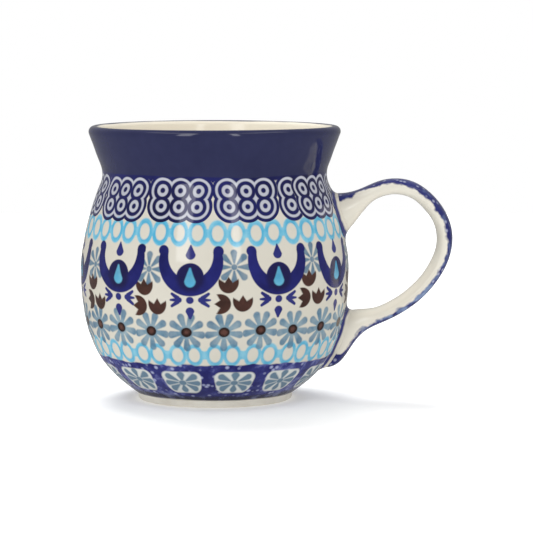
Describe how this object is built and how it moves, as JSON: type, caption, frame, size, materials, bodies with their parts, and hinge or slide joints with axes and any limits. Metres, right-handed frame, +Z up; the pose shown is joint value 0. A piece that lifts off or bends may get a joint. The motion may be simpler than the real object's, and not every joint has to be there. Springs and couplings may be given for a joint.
{
  "type": "mug",
  "caption": "Round-bellied stoneware drinking mug with a flared collar, an ear-shaped side handle and hand-stamped folk bands under a clear glaze.",
  "frame": {"origin": "on the table, in the plane of the foot ring, under the middle of the overall footprint; the body's own axis stands 17.75 mm from it towards -X", "axes": "+Z up through the mouth, +X towards the handle, Y = 0 the plane of symmetry"},
  "size_m": [0.128, 0.0924, 0.094],
  "materials": {
    "stamped_glaze": "cobalt, turquoise, grey-blue and brown stamping on cream stoneware under a clear gloss glaze, with a bare foot ring",
    "handle_glaze": "cream stoneware with a dabbed cobalt band along the spine, under a clear gloss glaze",
    "joint_glaze": "cobalt line over the slip, under a clear gloss glaze"
  },
  "bodies": {
    "root": {"mug_body": "stamped_glaze", "handle": "handle_glaze", "upper_slip_joint": "joint_glaze", "lower_slip_joint": "joint_glaze"}
  },
  "joints": []
}
